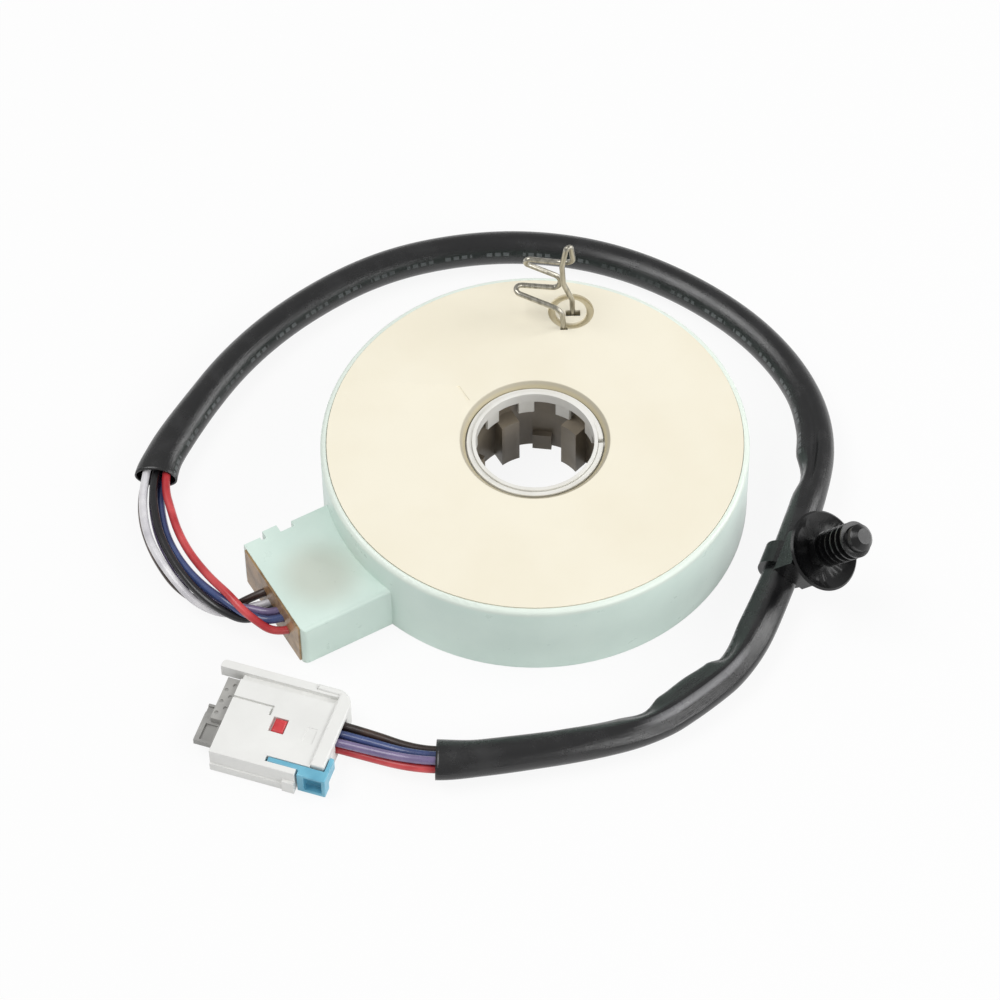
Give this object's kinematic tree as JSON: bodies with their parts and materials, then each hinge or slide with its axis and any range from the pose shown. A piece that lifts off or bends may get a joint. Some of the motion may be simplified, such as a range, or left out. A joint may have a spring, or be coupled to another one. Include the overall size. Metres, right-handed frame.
{
  "type": "steering angle sensor",
  "caption": "Flat round steering column sensor with a toothed hub in its bore, a wire lock clip on the cover, and a sleeved harness with a push-in clip and a plug.",
  "frame": {"origin": "on the steering shaft's axis, in the seating face under the casing", "axes": "+Z along the steering shaft towards the cover, -X towards the cable outlet"},
  "size_m": [0.1524, 0.1359, 0.0386],
  "materials": {
    "mint_plastic": "smooth moulded plastic with a soft sheen",
    "cream_plastic": "smooth moulded plastic, matt",
    "spring_steel": "drawn spring wire",
    "rotor_plastic": "smooth moulded plastic",
    "hub_plastic": "smooth moulded plastic",
    "circuit_board": "solder mask over glass laminate",
    "holder_plastic": "moulded plastic",
    "contact_brass": "stamped contact metal",
    "ribbon_film": "film over flat conductors",
    "potting_resin": "cast resin",
    "wire_brown": "extruded insulation",
    "wire_white": "extruded insulation",
    "wire_black": "extruded insulation",
    "wire_violet": "extruded insulation",
    "wire_navy": "extruded insulation",
    "wire_red": "extruded insulation",
    "sleeve_vinyl": "soft glossy tube",
    "clip_plastic": "smooth moulded plastic",
    "connector_plastic": "smooth moulded plastic",
    "insert_plastic": "smooth moulded plastic",
    "keeper_plastic": "smooth moulded plastic",
    "lock_plastic": "smooth moulded plastic"
  },
  "bodies": {
    "casing": {"housing": "mint_plastic", "top_cover": "cream_plastic", "lock_clip": "spring_steel", "position_board": "circuit_board", "ribbon_cable": "ribbon_film", "ribbon_outer_block": "holder_plastic", "potting": "potting_resin", "outlet_terminals": "contact_brass", "wire_brown": "wire_brown", "wire_white": "wire_white", "wire_black": "wire_black", "wire_violet": "wire_violet", "wire_navy": "wire_navy", "wire_red": "wire_red", "sleeve": "sleeve_vinyl", "harness_clip": "clip_plastic", "connector_housing": "connector_plastic", "connector_collar": "connector_plastic", "terminal_insert": "insert_plastic", "connector_keeper": "keeper_plastic", "connector_terminals": "contact_brass"},
    "lower_hub": {"lower_rotor": "rotor_plastic", "torque_board": "circuit_board", "position_carrier": "holder_plastic", "position_contacts": "contact_brass", "ribbon_inner_block": "holder_plastic"},
    "upper_hub": {"upper_rotor": "hub_plastic", "split_ring": "hub_plastic", "torque_carrier": "holder_plastic", "torque_contacts": "contact_brass"},
    "plug_lock": {"connector_lock": "lock_plastic"}
  },
  "joints": [
    {"name": "lower_hub_turn", "type": "hinge", "parent": "casing", "child": "lower_hub", "pos_m": [0, 0, 0], "axis": [0, 0, 1], "range_deg": [-540, 540]},
    {"name": "upper_hub_twist", "type": "hinge", "parent": "lower_hub", "child": "upper_hub", "pos_m": [0, 0, 0], "axis": [0, 0, 1], "range_deg": [-6, 6]},
    {"name": "plug_lock_slide", "type": "slide", "parent": "casing", "child": "plug_lock", "axis": [0.6665, -0.7455, 0], "range_m": [0, 0.0025]}
  ]
}
